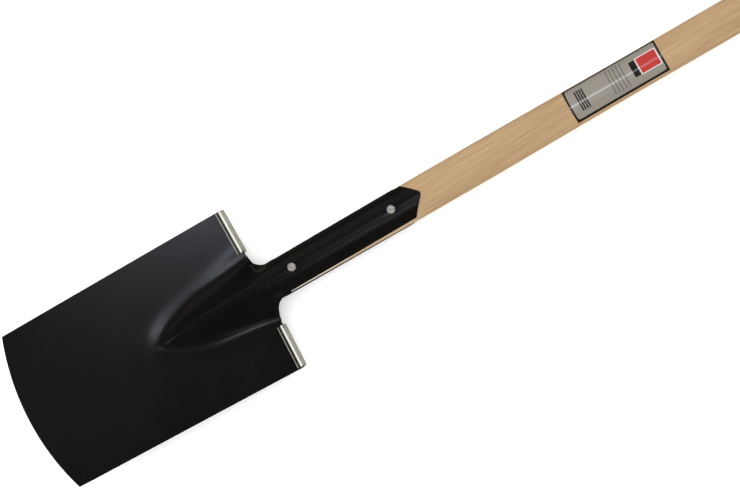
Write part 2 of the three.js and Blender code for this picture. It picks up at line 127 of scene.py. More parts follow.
# Rivets
RIVET_PLACES = {"lower": 40.5, "upper": 158.5}
RIVET_HEAD_RADIUS = 4.3
RIVET_HEAD_HEIGHT = 2.1
RIVET_SHANK_RADIUS = 2.5
RIVET_SEAT_GAP = 0.06
RIVET_RIM_ROUND = 0.5
RIVET_CENTRE_RADIUS = 0.02
RIVET_MARK_RADIUS = 1.4
RIVET_MARK_DEPTH = 0.6
RIVET_DENT_RADIUS = 6
RIVET_DENT_DEPTH = 0.35

# Foot treads over the shoulder edges
TREAD_INNER = 43.3
TREAD_OUTER = 91.5
TREAD_SHEET = 1.2
TREAD_LEG_REACH = 7.2
TREAD_ROLL_CENTRE = 0.85
TREAD_ROLL_HALF_HEIGHT = 3.5
TREAD_ROLL_HALF_WIDTH = 5
TREAD_LIP_RADIUS = 0.62
# The groove beside the lip, where the treads' material paints shade
TREAD_GROOVE_PLACE = -4.85
TREAD_GROOVE_HALF_WIDTH = 1
# Where the treads' material paints a highlight along the roll
TREAD_HIGHLIGHT_PLACE = -1.8
TREAD_HIGHLIGHT_HALF_WIDTH = 0.35
TREAD_EDGE_ROUND = 0.25

# Shaft
SHAFT_CONE_TOP = 24
SHAFT_END_DEPTH = 22
SHAFT_END_RADIUS = 13.6
SHAFT_RADIUS_LOW = 20.1
SHAFT_RADIUS_HIGH = 18.95
SHAFT_TAPER_START = 265
SHAFT_TAPER_END = 430
SHAFT_STRAIGHT_END = 760
SHAFT_LENGTH = 863
RECESS_WALL = 0.35
STRIP_SINK_LEFT = 1.2
STRIP_SINK_RIGHT = 0.2
STRIP_FADE = 18
GRIP_NECK_RADIUS = 16.2
GRIP_NECK_LENGTH = 70

# T-grip
GRIP_LENGTH = 118
GRIP_RADIUS = 17
GRIP_END_RADIUS = 15.8
GRIP_END_ROUND = 3
TENON_RADIUS = 12
TENON_END_SHARES = (1, 0.97, 0.8, 0.6, 0.4, 0.2, 0.02)
WEDGE_TOP_THICKNESS = 3.2
WEDGE_TIP_THICKNESS = 1.2
WEDGE_DEPTH = 12
PIN_RADIUS = 2.4
PIN_END_ROUND = 0.6
PIN_FACE_RADIUS = PIN_RADIUS / 3

# Ash: its grain, its growth rings in metres, and painted light that makes the wood between the straps paler
GRAIN_TURN = math.radians(-2.5)
RINGS_PER_METRE = 540
RING_SWAY = 9
PITH_BESIDE = 0.08
PITH_BELOW = 0.02
# Where painted light makes the shaft's wood paler, in millimetres
PAINTED_LIGHT_START = 30
PAINTED_LIGHT_FADED = 115
PAINTED_LIGHT_REST = 0.16
PAINTED_LIGHT_END = 185
PAINTED_LIGHT_END_FADE = 15
ASH_LIGHT = (0.50, 0.345, 0.185, 1)
ASH_DARK = (0.31, 0.195, 0.09, 1)
ASH_PAINTED_LIGHT = (0.66, 0.6, 0.5, 1)
WEDGE_LIGHT = (0.36, 0.24, 0.12, 1)
WEDGE_DARK = (0.24, 0.15, 0.07, 1)

# Foil label
LABEL_PLACE = 366
LABEL_LENGTH = 106
LABEL_ANGLE = math.radians(65)
LABEL_LIFT = 0.12
LABEL_THICKNESS = 0.15
LABEL_END_BORDER = 2
LABEL_SIDE_BORDER = 3.6
LABEL_CORNER_ROUND = 3
LABEL_PRINT_HALF = 8.5
LABEL_RED_PLACE = 38.4
LABEL_RED_HALF = 10.8
LABEL_RIM = 0.7
LABEL_BAR_PLACE = 22.8
LABEL_BAR_HALF = 3.2
LABEL_RULES = -5
LABEL_RULE_STEP = 4
LABEL_RULE_COUNT = 5
LABEL_RULE_HALF = 0.5
LABEL_RULE_REACH = 14
LABEL_STRIPES = -41.6
LABEL_STRIPE_STEP = 2.6
LABEL_STRIPE_COUNT = 4
LABEL_STRIPE_HALF = 0.8
LABEL_STRIPE_REACH = 11
PRINT_BLUR = 0.15

# Camera: its place from the shoulder, its turn in degrees, its lens and its sensor
CAMERA_PLACE = (509, -489, 2775)
CAMERA_TURN = (4.55, 11.59, -28.91)
CAMERA_LENS = 135.3
SENSOR_WIDTH = 36

# Stage, with its distances in metres
VIEW_END = 20
FLOOR_WIDTH = 8
FLOOR_GLOW = 0.25
ROOM_RADIUS = 15
ROOM_GLOW = 0.075
WORLD_STRENGTH = 1.42
LIGHT_DISTANCE = 3.2
SHEEN_DISTANCE = 0.75

# Sizes worked out from the ones above
BLADE_HALF = BLADE_WIDTH / 2
EDGE_HALF = EDGE_WIDTH / 2
EDGE_ARC_RADIUS = (EDGE_HALF**2 + EDGE_BULGE**2) / (2 * EDGE_BULGE)
BLADE_LENGTH = SIDE_LENGTH + EDGE_BULGE
NECK_HALF = STRAP_RADIUS_LOW * math.sin(FRONT_STRAP_ANGLE_LOW) + NECK_RADIUS
GRIP_AXIS = SHAFT_LENGTH - GRIP_RADIUS

# Where the shoulder line crosses the shaft's axis, in the frame
shaft_low, shaft_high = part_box("shaft")
SHOULDER = Vector((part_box("blade")[0].x + BLADE_LENGTH * MM, 0, (shaft_low.z + shaft_high.z) / 2))


# Numbers

def mix(a, b, share):
    return a + (b - a) * share


def smooth_step(share):
    s = np.clip(share, 0, 1)
    return s * s * (3 - 2 * s)


def soft_max(a, b, softness):
    """The larger of a and b, rounded off where they differ by less than softness."""
    near = np.maximum(0, 1 - np.abs(a - b) / softness)
    return np.maximum(a, b) + near**3 * softness / 6


def dent(x, y, place, radius, depth):
    """A round, soft-edged dent's depth at (x, y)."""
    return depth * np.exp(-((x - place[0]) ** 2 + (y - place[1]) ** 2) / radius**2)


def points_of(x, y, z):
    return np.stack(np.broadcast_arrays(x, y, z), -1).astype(float)


# Meshes

def vertex_normals(points, squares):
    """Unit normals at the points of a mesh of squares."""
    a, b, c, d = (points[squares[:, i]] for i in range(4))
    area = np.cross(c - a, d - b)
    normals = np.zeros_like(points)
    for i in range(4):
        np.add.at(normals, squares[:, i], area)
    return normals / np.linalg.norm(normals, axis=1, keepdims=True)


def formed_sheet(rows, thickness):
    """A pressed sheet: rows of points on its outer face, thickened inwards. A missing point is NaN."""
    present = ~np.isnan(rows[..., 0])
    number = np.full(present.shape, -1)
    number[present] = np.arange(present.sum())
    outer = rows[present]
    squares = np.stack([number[:-1, :-1], number[1:, :-1], number[1:, 1:], number[:-1, 1:]], -1)
    squares = squares.reshape(-1, 4)
    squares = squares[(squares >= 0).all(axis=1)]
    count = len(outer)
    inner = outer - vertex_normals(outer, squares) * np.broadcast_to(thickness(outer), count)[:, None]
    edges = {(int(a), int(b)) for square in squares for a, b in zip(square, np.roll(square, -1))}
    walls = [(b, a, a + count, b + count) for a, b in edges if (b, a) not in edges]
    faces = [*squares.tolist(), *(squares[:, ::-1] + count).tolist(), *walls]
    return np.concatenate([outer, inner]), faces


def loft(rings):
    """A closed body through rings of equal length, with an n-gon at each end."""
    rings = np.asarray(rings, float)
    count, size = rings.shape[:2]
    number = np.arange(count * size).reshape(count, size)
    after = np.roll(number, -1, axis=1)
    sides = np.stack([number[:-1], after[:-1], after[1:], number[1:]], -1).reshape(-1, 4)
    return rings.reshape(-1, 3), [*sides.tolist(), number[0][::-1].tolist(), number[-1].tolist()]


def turned(profile, pieces):
    """A body turned round the X axis from (place, radius) pairs, with an n-gon at each end."""
    turns = np.linspace(0, 2 * math.pi, pieces, endpoint=False)
    rings = [points_of(place, radius * np.sin(turns), radius * np.cos(turns)) for place, radius in profile]
    return loft(rings)


def new_object(name, shape, place=Matrix.Identity(4)):
    """An object from points in millimetres and faces; place turns its own axes into the shoulder's."""
    points, faces = shape
    mesh = bpy.data.meshes.new(name)
    mesh.from_pydata((np.asarray(points) * MM).tolist(), [], faces)
    mesh.validate()
    mesh.update()
    made = bpy.data.objects.new(name, mesh)
    bpy.context.scene.collection.objects.link(made)
    made.matrix_world = Matrix.Translation(SHOULDER) @ place
    face_out(mesh)
    return made


def face_out(mesh):
    """Turns a closed mesh's faces round if they point inwards."""
    volume = 0
    for face in mesh.polygons:
        corners = [mesh.vertices[i].co for i in face.vertices]
        for b, c in zip(corners[1:], corners[2:]):
            volume += corners[0].dot(b.cross(c))
    if volume < 0:
        mesh.flip_normals()


def apply_modifiers(piece):
    """Puts the piece's shape with its modifiers in its mesh's place."""
    evaluated = piece.evaluated_get(bpy.context.evaluated_depsgraph_get())
    mesh = bpy.data.meshes.new_from_object(evaluated)
    old = piece.data
    piece.modifiers.clear()
    piece.data = mesh
    bpy.data.meshes.remove(old)
    mesh.name = piece.name


def cut(piece, cutter):
    """Cuts the cutter's shape out of the piece."""
    modifier = piece.modifiers.new("cut", "BOOLEAN")
    modifier.operation = "DIFFERENCE"
    modifier.solver = "EXACT"
    modifier.object = cutter
    bpy.context.view_layer.update()
    apply_modifiers(piece)
    bpy.data.objects.remove(cutter)


def rod(name, axis, centre, radius, length, pieces=48):
    """A round cutter along "x" or "z", round a point in the shoulder's frame."""
    shape = turned([(-length / 2, radius), (length / 2, radius)], pieces)
    turn = {"x": Matrix.Identity(4), "z": Matrix.Rotation(-math.pi / 2, 4, "Y")}[axis]
    return new_object(name, shape, Matrix.Translation(Vector(centre) * MM) @ turn)


def round_edges(piece, width, segments=3, angle=50):
    modifier = piece.modifiers.new("round_edges", "BEVEL")
    modifier.width = width * MM
    modifier.segments = segments
    modifier.limit_method = "ANGLE"
    modifier.angle_limit = math.radians(angle)
    modifier.harden_normals = True


def smooth(piece, angle=40):
    mesh = piece.data
    mesh.polygons.foreach_set("use_smooth", [True] * len(mesh.polygons))
    mesh.set_sharp_from_angle(angle=math.radians(angle))
    mesh.update()


def finish_piece(piece, material, node):
    """Gives the piece its material, and lets it ride on the one body in its CAD node's place."""
    piece.data.materials.clear()
    piece.data.materials.append(material)
    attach(piece, "root")
    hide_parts(node)


# Surfaces

def strap_radius(x):
    return mix(STRAP_RADIUS_LOW, STRAP_RADIUS_HIGH, np.maximum(0, x) / FRONT_STRAP_LENGTH)


def front_angle(x):
    """How far the front strap wraps round to each side; it narrows up the shaft."""
    share = np.clip((x - NECK_RADIUS) / (FRONT_STRAP_LENGTH - NECK_RADIUS), 0, 1)
    return mix(FRONT_STRAP_ANGLE_LOW, FRONT_STRAP_ANGLE_HIGH, share)


def back_angle(x):
    """How far the back strap wraps round to each side."""
    share = np.clip((x - BACK_NECK_LENGTH) / (BACK_STRAP_LENGTH - BACK_NECK_LENGTH), 0, 1)
    return mix(BACK_STRAP_ANGLE_LOW, BACK_STRAP_ANGLE_HIGH, share)


def strap_half_width(x):
    return strap_radius(x) * np.sin(front_angle(x))


def plate_height(x, y):
    dish = BLADE_DISH * (y / BLADE_HALF) ** 2
    bow = BLADE_BOW * (np.minimum(0, x) / BLADE_LENGTH) ** 2
    return dish + bow - BLADE_SEAT - x * LIFT


def ridge_height(y, crest, radius, flank):
    """Height of a ridge with a round crest and straight flanks, at a distance y from its crest."""
    reach = np.abs(y)
    round_reach = radius * np.sin(flank)
    crown = crest - radius + np.sqrt(np.maximum(0, radius**2 - reach**2))
    side = crest - radius * (1 - np.cos(flank)) - (reach - round_reach) * np.tan(flank)
    return np.where(reach <= round_reach, crown, side)


def ridge_swell(x):
    """The ridge's share of its full rise; beyond its tip it runs on below the plate."""
    from_tip = np.minimum(0, x) + RIDGE_LENGTH
    start = RIDGE_TIP_EASE**RIDGE_TAPER_POWER
    full = (RIDGE_LENGTH + RIDGE_TIP_EASE) ** RIDGE_TAPER_POWER - start
    risen = (np.maximum(0, from_tip) + RIDGE_TIP_EASE) ** RIDGE_TAPER_POWER - start
    slope = RIDGE_TAPER_POWER * RIDGE_TIP_EASE ** (RIDGE_TAPER_POWER - 1)
    return (risen + slope * np.minimum(0, from_tip)) / full


def crest_radius(x):
    """The ridge's crest is sharper towards its tip."""
    share = smooth_step((x + RIDGE_LENGTH) / RIDGE_TIP_RADIUS_REACH)
    return mix(RIDGE_TIP_RADIUS, RIDGE_CREST_RADIUS, share)


def ridge_base_line():
    """Points along one side of the ridge's base, from its tip to the shoulder line."""
    x = -RIDGE_LENGTH * (1 - np.linspace(0, 1, 200) ** 2)
    rise = (strap_radius(0) - plate_height(0, 0)) * ridge_swell(x)
    radius = crest_radius(x)
    round_rise = radius * (1 - math.cos(RIDGE_FLANK))
    round_half = np.sqrt(np.maximum(0, radius**2 - (radius - rise) ** 2))
    flank_half = radius * math.sin(RIDGE_FLANK) + (rise - round_rise) / math.tan(RIDGE_FLANK)
    return x, np.where(rise < round_rise, round_half, flank_half)


def draw_in(x, y):
    """How far the plate is drawn in along the ridge's base, which is further round its tip and the neck."""
    line_x, line_y = ridge_base_line()
    x, y = np.broadcast_arrays(np.asarray(x, float), np.abs(y))
    away = np.hypot(x[..., None] - line_x, y[..., None] - line_y).min(axis=-1)
    away = np.where(y < np.interp(x, line_x, line_y, left=0), -away, away)
    depth = DRAW_IN_DEPTH + DRAW_IN_TIP_DEPTH * np.exp(-(((x + RIDGE_LENGTH) / DRAW_IN_TIP_REACH) ** 2))
    depth = depth + DRAW_IN_NECK_DEPTH * np.exp(-((x / DRAW_IN_NECK_REACH) ** 2))
    hollow = dent(x, y, (-RIDGE_LENGTH, 0), TIP_HOLLOW_RADIUS, TIP_HOLLOW_DEPTH)
    return depth * np.exp(-(((away - DRAW_IN_PLACE) / DRAW_IN_REACH) ** 2)) + hollow


def rivet_dents(x, y):
    """How far the strap is drawn in round the rivets and at the punch mark on the neck."""
    rivets = sum(dent(x, y, (place, 0), RIVET_DENT_RADIUS, RIVET_DENT_DEPTH)
                 for place in RIVET_PLACES.values())
    return rivets + dent(x, y, NECK_MARK_PLACE, NECK_MARK_RADIUS, NECK_MARK_DEPTH)


def front_height(x, y):
    """Height of the blade's front face, from the cutting edge to the end of the front strap."""
    plate = plate_height(x, y)
    rise = strap_radius(0) - plate_height(0, 0)
    crest = np.where(x >= 0, strap_radius(x), plate_height(x, 0) + rise * ridge_swell(x))
    strap_share = smooth_step(x / NECK_RADIUS)
    round_share = smooth_step((x + NECK_RADIUS) / (2 * NECK_RADIUS))
    fillet_share = smooth_step(-x / RIDGE_FILLET_FADE)
    flank = mix(RIDGE_FLANK, front_angle(x), strap_share)
    radius = mix(crest_radius(x), strap_radius(x), round_share)
    ridge = ridge_height(y, crest, radius, flank)
    fillet = mix(RIDGE_FILLET_NECK, RIDGE_FILLET, fillet_share) * (1 - strap_share)
    pressed = soft_max(ridge, plate, np.maximum(FILLET_LEAST, fillet))
    return pressed - draw_in(x, y) * (1 - strap_share) - rivet_dents(x, y)


def foot_height(x, y):
    """Height of the foot's outer face, which points away from the front."""
    below = 2 * SHEET + CLEARANCE
    flange = below - plate_height(x, y) + draw_in(x, y)
    share = np.minimum(1, -np.minimum(0, x) / FOOT_HOLLOW_LENGTH)
    swell = np.sqrt(1 - share**2)
    rise = strap_radius(0) - (below - plate_height(0, 0))
    depth = ridge_height(y, below - plate_height(x, 0) + rise * swell, strap_radius(x), FOOT_FLANK)
    return -soft_max(depth, flange, np.maximum(FILLET_LEAST, RIDGE_FILLET * swell))


def neck_edge(x):
    """Half the width of the blade's neck and front strap."""
    reach = np.maximum(0, NECK_RADIUS - x)
    return strap_half_width(x) + NECK_RADIUS - np.sqrt(np.maximum(0, NECK_RADIUS**2 - reach**2))


def edge_place(y):
    """How far the cutting edge lies from the shoulder line."""
    side = SIDE_LENGTH - EDGE_INSET
    return side + np.sqrt(EDGE_ARC_RADIUS**2 - y**2) - math.sqrt(EDGE_ARC_RADIUS**2 - EDGE_HALF**2)


# Blade

NECK_STATIONS = NECK_RADIUS * (1 - np.cos(np.linspace(0, math.pi / 2, 21)))
NECK_COLUMNS = 72
SHOULDER_COLUMNS = 44

# Rows are closer together at the cutting edge and at the ridge's tip
TOE_ROW_POWER = 1.15
RIDGE_ROW_POWER = 1.3


def blade_widths():
    """The columns' distances from the middle at the shoulder line, and their shares of the neck's width."""
    turns = np.linspace(-1, 1, NECK_COLUMNS + 1) * FRONT_STRAP_ANGLE_LOW
    share = np.sin(turns) / math.sin(FRONT_STRAP_ANGLE_LOW)
    shoulder = np.linspace(NECK_HALF, BLADE_HALF, SHOULDER_COLUMNS + 1)[1:]
    missing = np.full(SHOULDER_COLUMNS, np.nan)
    widths = np.concatenate([-shoulder[::-1], share * NECK_HALF, shoulder])
    return widths, np.concatenate([missing, share, missing])


def plate_row(widths, centre_place):
    """A row across the plate: straight beside the ridge, and curved like the edge towards the toe."""
    end = edge_place(widths / BLADE_HALF * EDGE_HALF)
    toe_share = max(0, centre_place - RIDGE_LENGTH) / (BLADE_LENGTH - RIDGE_LENGTH)
    x = -mix(min(centre_place, RIDGE_LENGTH), end, toe_share)
    y = widths / BLADE_HALF * mix(BLADE_HALF, EDGE_HALF, -x / end)
    return points_of(x, y, front_height(x, y))


def neck_point(turn_share, x):
    y = turn_share * neck_edge(x)
    return points_of(x, y, front_height(x, y))


def front_strap_end(turn_share):
    """Where the front strap ends: a pointed end with a rounded tip."""
    across = strap_half_width(FRONT_STRAP_LENGTH - FRONT_STRAP_POINT)
    drop = np.hypot(turn_share * across, FRONT_STRAP_POINT_ROUND) - FRONT_STRAP_POINT_ROUND
    full_drop = math.hypot(across, FRONT_STRAP_POINT_ROUND) - FRONT_STRAP_POINT_ROUND
    return FRONT_STRAP_LENGTH - FRONT_STRAP_POINT * drop / full_drop


def blade_rows():
    widths, share = blade_widths()
    toe = BLADE_LENGTH - np.linspace(0, 1, 61) ** TOE_ROW_POWER * (BLADE_LENGTH - RIDGE_LENGTH)
    ridge = RIDGE_LENGTH * (1 - np.linspace(0, 1, 121)[1:] ** RIDGE_ROW_POWER)
    plate = [plate_row(widths, place) for place in [*toe, *ridge]]
    neck = [neck_point(share, x) for x in NECK_STATIONS[1:]]
    end = front_strap_end(share)
    strap = [neck_point(share, mix(NECK_RADIUS, end, s)) for s in np.linspace(0, 1, 111)[1:]]
    return np.array([*plate, *neck, *strap])


def blade_thickness(points):
    """The plate is ground thinner from behind towards its cutting edge."""
    left = edge_place(points[:, 1]) + points[:, 0]
    return mix(EDGE_THICKNESS, SHEET, np.clip(left / GRIND_LENGTH, 0, 1))


def cut_rivet_holes(piece):
    radius = RIVET_SHANK_RADIUS + CLEARANCE
    length = 2 * (STRAP_RADIUS_HIGH + OVERRUN)
    for name, place in RIVET_PLACES.items():
        cut(piece, rod(f"rivet_drill_{name}", "z", (place, 0, 0), radius, length))


def add_blade(material):
    piece = new_object("blade_pressing", formed_sheet(blade_rows(), blade_thickness))
    cut_rivet_holes(piece)
    smooth(piece, angle=65)
    round_edges(piece, SHEET_EDGE_ROUND, angle=65)
    finish_piece(piece, material, "blade")


# Back strap

def foot_edge(x):
    """Half the width of the foot, which follows the neck above the shoulder line."""
    share = np.minimum(1, -np.minimum(0, x) / FOOT_LENGTH)
    below = mix(FOOT_HALF_WIDTH, FOOT_END_HALF_WIDTH, share)
    return np.where(x < 0, below, neck_edge(x) + FOOT_HALF_WIDTH - NECK_HALF)


def back_point(turn, x):
    """A point of the back strap's outer face: turn runs from -1 on one edge to 1 on the other."""
    angle = turn * back_angle(x)
    radius = strap_radius(x)
    tube = points_of(x, -radius * np.sin(angle), -radius * np.cos(angle))
    y = -turn * foot_edge(x)
    flange = points_of(x, y, foot_height(x, y))
    return mix(flange, tube, smooth_step(np.asarray(x) / NECK_RADIUS)[..., None])


def back_strap_rows():
    turns = np.linspace(-1, 1, 73)
    foot_end = FOOT_LENGTH - FOOT_END_ROUND * turns**2
    foot = [back_point(turns, -s * foot_end) for s in np.linspace(1, 0, 49)[:-1]]
    neck = [back_point(turns, np.full_like(turns, x)) for x in NECK_STATIONS]
    tube_end = BACK_STRAP_LENGTH - BACK_STRAP_END_ROUND * turns**4
    tube = [back_point(turns, mix(NECK_RADIUS, tube_end, s)) for s in np.linspace(0, 1, 91)[1:]]
    return np.array([*foot, *neck, *tube])


def add_back_strap(material):
    piece = new_object("back_strap_pressing", formed_sheet(back_strap_rows(), lambda points: SHEET))
    cut_rivet_holes(piece)
    smooth(piece)
    round_edges(piece, SHEET_EDGE_ROUND)
    finish_piece(piece, material, "back_strap")


# Welds

def weld_ripple(x):
    """The scales of a hand-laid bead: how far its crown stands proud at a place along it."""
    phase = (x / WELD_RIPPLE_PITCH) % 1
    return WELD_RIPPLE_HEIGHT * (2 * np.sqrt(1 - (1 - phase) ** 2) - 1)


def inward_point(point, share, x, depth):
    """The point a depth behind a sheet's outer face, where point(share, x) gives that face."""
    step = 0.01
    share, x = np.float64(share), np.float64(x)
    along = point(share, x + step) - point(share, x - step)
    across = point(share + step, x) - point(share - step, x)
    normal = np.cross(along, across)
    return point(share, x) - normal / np.linalg.norm(normal) * depth


def neck_weld_rings(side):
    """Rings of a bead that fills the gap between the blade's neck and the back strap."""
    rings = []
    for x in np.linspace(NECK_WELD_START, BACK_NECK_LENGTH, 60):
        ends = []
        for depth in (0, NECK_WELD_DEPTH):
            front = inward_point(neck_point, side, x, depth)
            back = inward_point(back_point, -side, x, depth)
            gap = (back - front) / np.linalg.norm(back - front) * NECK_WELD_GAP
            ends.append((front + gap, back - gap))
        (front_outer, back_outer), (front_inner, back_inner) = ends
        out = np.array([0, side * (CLEARANCE + weld_ripple(x)), 0])
        crown = [mix(front_outer, back_outer, s) + out * math.sin(math.pi * s) for s in np.linspace(0, 1, 9)]
        rings.append([*crown, back_inner, front_inner])
    return rings


def foot_weld_rings(side):
    """Rings of a bead along the foot's edge, which is thinner at its ends."""
    end = FOOT_LENGTH - FOOT_END_ROUND - FOOT_WELD_START
    turns = np.linspace(0, math.pi / 2, 9)
    rings = []
    for x in np.linspace(-end, -FOOT_WELD_START, 110):
        y = side * (foot_edge(x) + CLEARANCE)
        z = float(plate_height(x, y) - draw_in(x, y)) - SHEET - CLEARANCE
        from_end = min(1, min(x + end, -FOOT_WELD_START - x) / FOOT_WELD_LEG)
        thinned = math.sqrt(min(1, FOOT_WELD_END_SHARE + from_end * (2 - from_end)))
        leg = (FOOT_WELD_LEG + weld_ripple(x)) * thinned
        bead = points_of(x, y + side * leg * np.cos(turns), z - leg * np.sin(turns))
        rings.append([*bead, (x, y, z)])
    return rings


def add_welds(material):
    for side, name in ((1, "left"), (-1, "right")):
        for place, rings in (("neck_weld", neck_weld_rings(side)), ("foot_weld", foot_weld_rings(side))):
            piece = new_object(f"{place}_bead_{name}", loft(rings))
            smooth(piece, angle=55)
            finish_piece(piece, material, f"{place}_{name}")


# Rivets

def rivet_profile(place):
    """A rivet's domed head, from its middle out to its rim: (height, radius) pairs."""
    top = float(strap_radius(place)) + CLEARANCE + RIVET_HEAD_HEIGHT
    dome_radius = (RIVET_HEAD_RADIUS**2 + RIVET_HEAD_HEIGHT**2) / (2 * RIVET_HEAD_HEIGHT)
    radii = np.linspace(RIVET_CENTRE_RADIUS, RIVET_HEAD_RADIUS - RIVET_RIM_ROUND, 26)
    mark = RIVET_MARK_DEPTH * np.exp(-((radii / RIVET_MARK_RADIUS) ** 4))
    heights = top - (dome_radius - np.sqrt(dome_radius**2 - radii**2)) - mark
    turns = np.linspace(0, math.pi / 2, 7)[1:]
    rim_radii = radii[-1] + RIVET_RIM_ROUND * np.sin(turns)
    rim_heights = heights[-1] - RIVET_RIM_ROUND * (1 - np.cos(turns))
    return list(zip(np.concatenate([heights, rim_heights]), np.concatenate([radii, rim_radii])))


def rivet_shape(place):
    """Both heads and the shank; the heads' rims follow the strap's round."""
    turns = np.linspace(0, 2 * math.pi, 64, endpoint=False)
    half = [points_of(radius * np.cos(turns), radius * np.sin(turns), height)
            for height, radius in rivet_profile(place)]
    for radius in (RIVET_HEAD_RADIUS, RIVET_SHANK_RADIUS):
        y = radius * np.sin(turns)
        seat = np.sqrt(float(strap_radius(place)) ** 2 - y**2) + RIVET_SEAT_GAP
        half.append(points_of(radius * np.cos(turns), y, seat))
    return loft([*half, *[ring * (1, 1, -1) for ring in half[::-1]]])


def add_rivets(material):
    for name, place in RIVET_PLACES.items():
        piece = new_object(f"rivet_{name}_set", rivet_shape(place), Matrix.Translation((place * MM, 0, 0)))
        smooth(piece, angle=60)
        finish_piece(piece, material, f"rivet_{name}")


# Treads

def tread_profile():
    """The tread's section, as (distance past the shoulder edge, distance from the plate's middle) pairs."""
    inner_face = SHEET / 2 + CLEARANCE
    outer_face = inner_face + TREAD_SHEET

    def roll(half_height, half_width, face, steps):
        start = math.asin(face / half_width)
        turns = np.linspace(start, 2 * math.pi - start, steps + 1)
        return np.stack([-TREAD_ROLL_CENTRE - half_height * np.cos(turns), half_width * np.sin(turns)], -1)

    outer = roll(TREAD_ROLL_HALF_HEIGHT, TREAD_ROLL_HALF_WIDTH, outer_face, 56)
    inner = roll(TREAD_ROLL_HALF_HEIGHT - TREAD_SHEET, TREAD_ROLL_HALF_WIDTH - TREAD_SHEET, inner_face, 40)
    lip_start = math.asin(TREAD_SHEET / TREAD_LIP_RADIUS - 1)
    turns = np.linspace(lip_start, 3 * math.pi / 2, 15)
    along = TREAD_LIP_RADIUS * (1 + np.cos(turns)) - TREAD_LEG_REACH
    lip = np.stack([along, inner_face + TREAD_LIP_RADIUS * (1 + np.sin(turns))], -1)
    return np.concatenate([outer, lip * (1, -1), inner[::-1], lip[::-1]])


def tread_shape(side):
    """The tread's section, swept across the shoulder at the plate's height under its leg."""
    along, out = tread_profile().T
    slope = math.atan(LIFT)
    x = along * math.cos(slope) + out * math.sin(slope)
    middle_of_leg = -TREAD_LEG_REACH / 2
    rings = []
    for y in side * np.linspace(TREAD_INNER, TREAD_OUTER, 25):
        seat = front_height(middle_of_leg, y) + middle_of_leg * LIFT - SHEET / 2
        rings.append(points_of(x, y, seat - along * math.sin(slope) + out * math.cos(slope)))
    return loft(rings)


def add_treads(material):
    for side, name in ((1, "left"), (-1, "right")):
        piece = new_object(f"tread_{name}_fold", tread_shape(side))
        smooth(piece, angle=50)
        round_edges(piece, TREAD_EDGE_ROUND, segments=2)
        finish_piece(piece, material, f"tread_{name}")


# Shaft

# What a column of the shaft's mesh lies under, and how many of each there are on one side
UNDER_FRONT = 1
BARE_STRIP = 0
UNDER_BACK = -1
SHAFT_COLUMNS = (33, 7, 49)


def shaft_radius(x):
    """The round shaft's radius above the straps."""
    neck = GRIP_AXIS - GRIP_RADIUS - GRIP_NECK_LENGTH
    places = [SHAFT_TAPER_START, SHAFT_TAPER_END, neck, GRIP_AXIS - GRIP_RADIUS]
    radii = [SHAFT_RADIUS_LOW, SHAFT_RADIUS_HIGH, SHAFT_RADIUS_HIGH, GRIP_NECK_RADIUS]
    return np.interp(x, places, radii)


def recess_radius(x):
    """The shaft's radius where a strap is let into it."""
    return strap_radius(x) - SHEET - CLEARANCE


def strip_radius(x, side):
    """The shaft's radius between the straps: nearly flush with them on the right, and lower on the left."""
    flush = strap_radius(x) - np.where(side < 0, STRIP_SINK_RIGHT, STRIP_SINK_LEFT)
    return mix(flush, SHAFT_RADIUS_LOW, smooth_step((x - BACK_STRAP_LENGTH) / STRIP_FADE))


def shaft_columns():
    """Which strap each of the shaft's columns lies under, its share of the way across, and its side."""
    share = np.concatenate([np.linspace(0, 1, count) for count in SHAFT_COLUMNS])
    under = np.repeat([UNDER_FRONT, BARE_STRIP, UNDER_BACK], SHAFT_COLUMNS)
    side = np.concatenate([np.ones(len(share)), -np.ones(len(share) - 2)])
    return np.concatenate([under, under[-2:0:-1]]), np.concatenate([share, share[-2:0:-1]]), side


def column_turns(x, under, share, side):
    """The columns' turns from the top, at each one's place along the shaft."""
    fit = CLEARANCE / STRAP_RADIUS_LOW
    wall = RECESS_WALL / STRAP_RADIUS_LOW
    front = front_angle(x) + fit
    back = math.pi - back_angle(x) - fit
    strip = mix(front + wall, back - wall, share)
    cases = [under == UNDER_FRONT, under == BARE_STRIP]
    return side * np.select(cases, [share * front, strip], mix(back, math.pi, share))


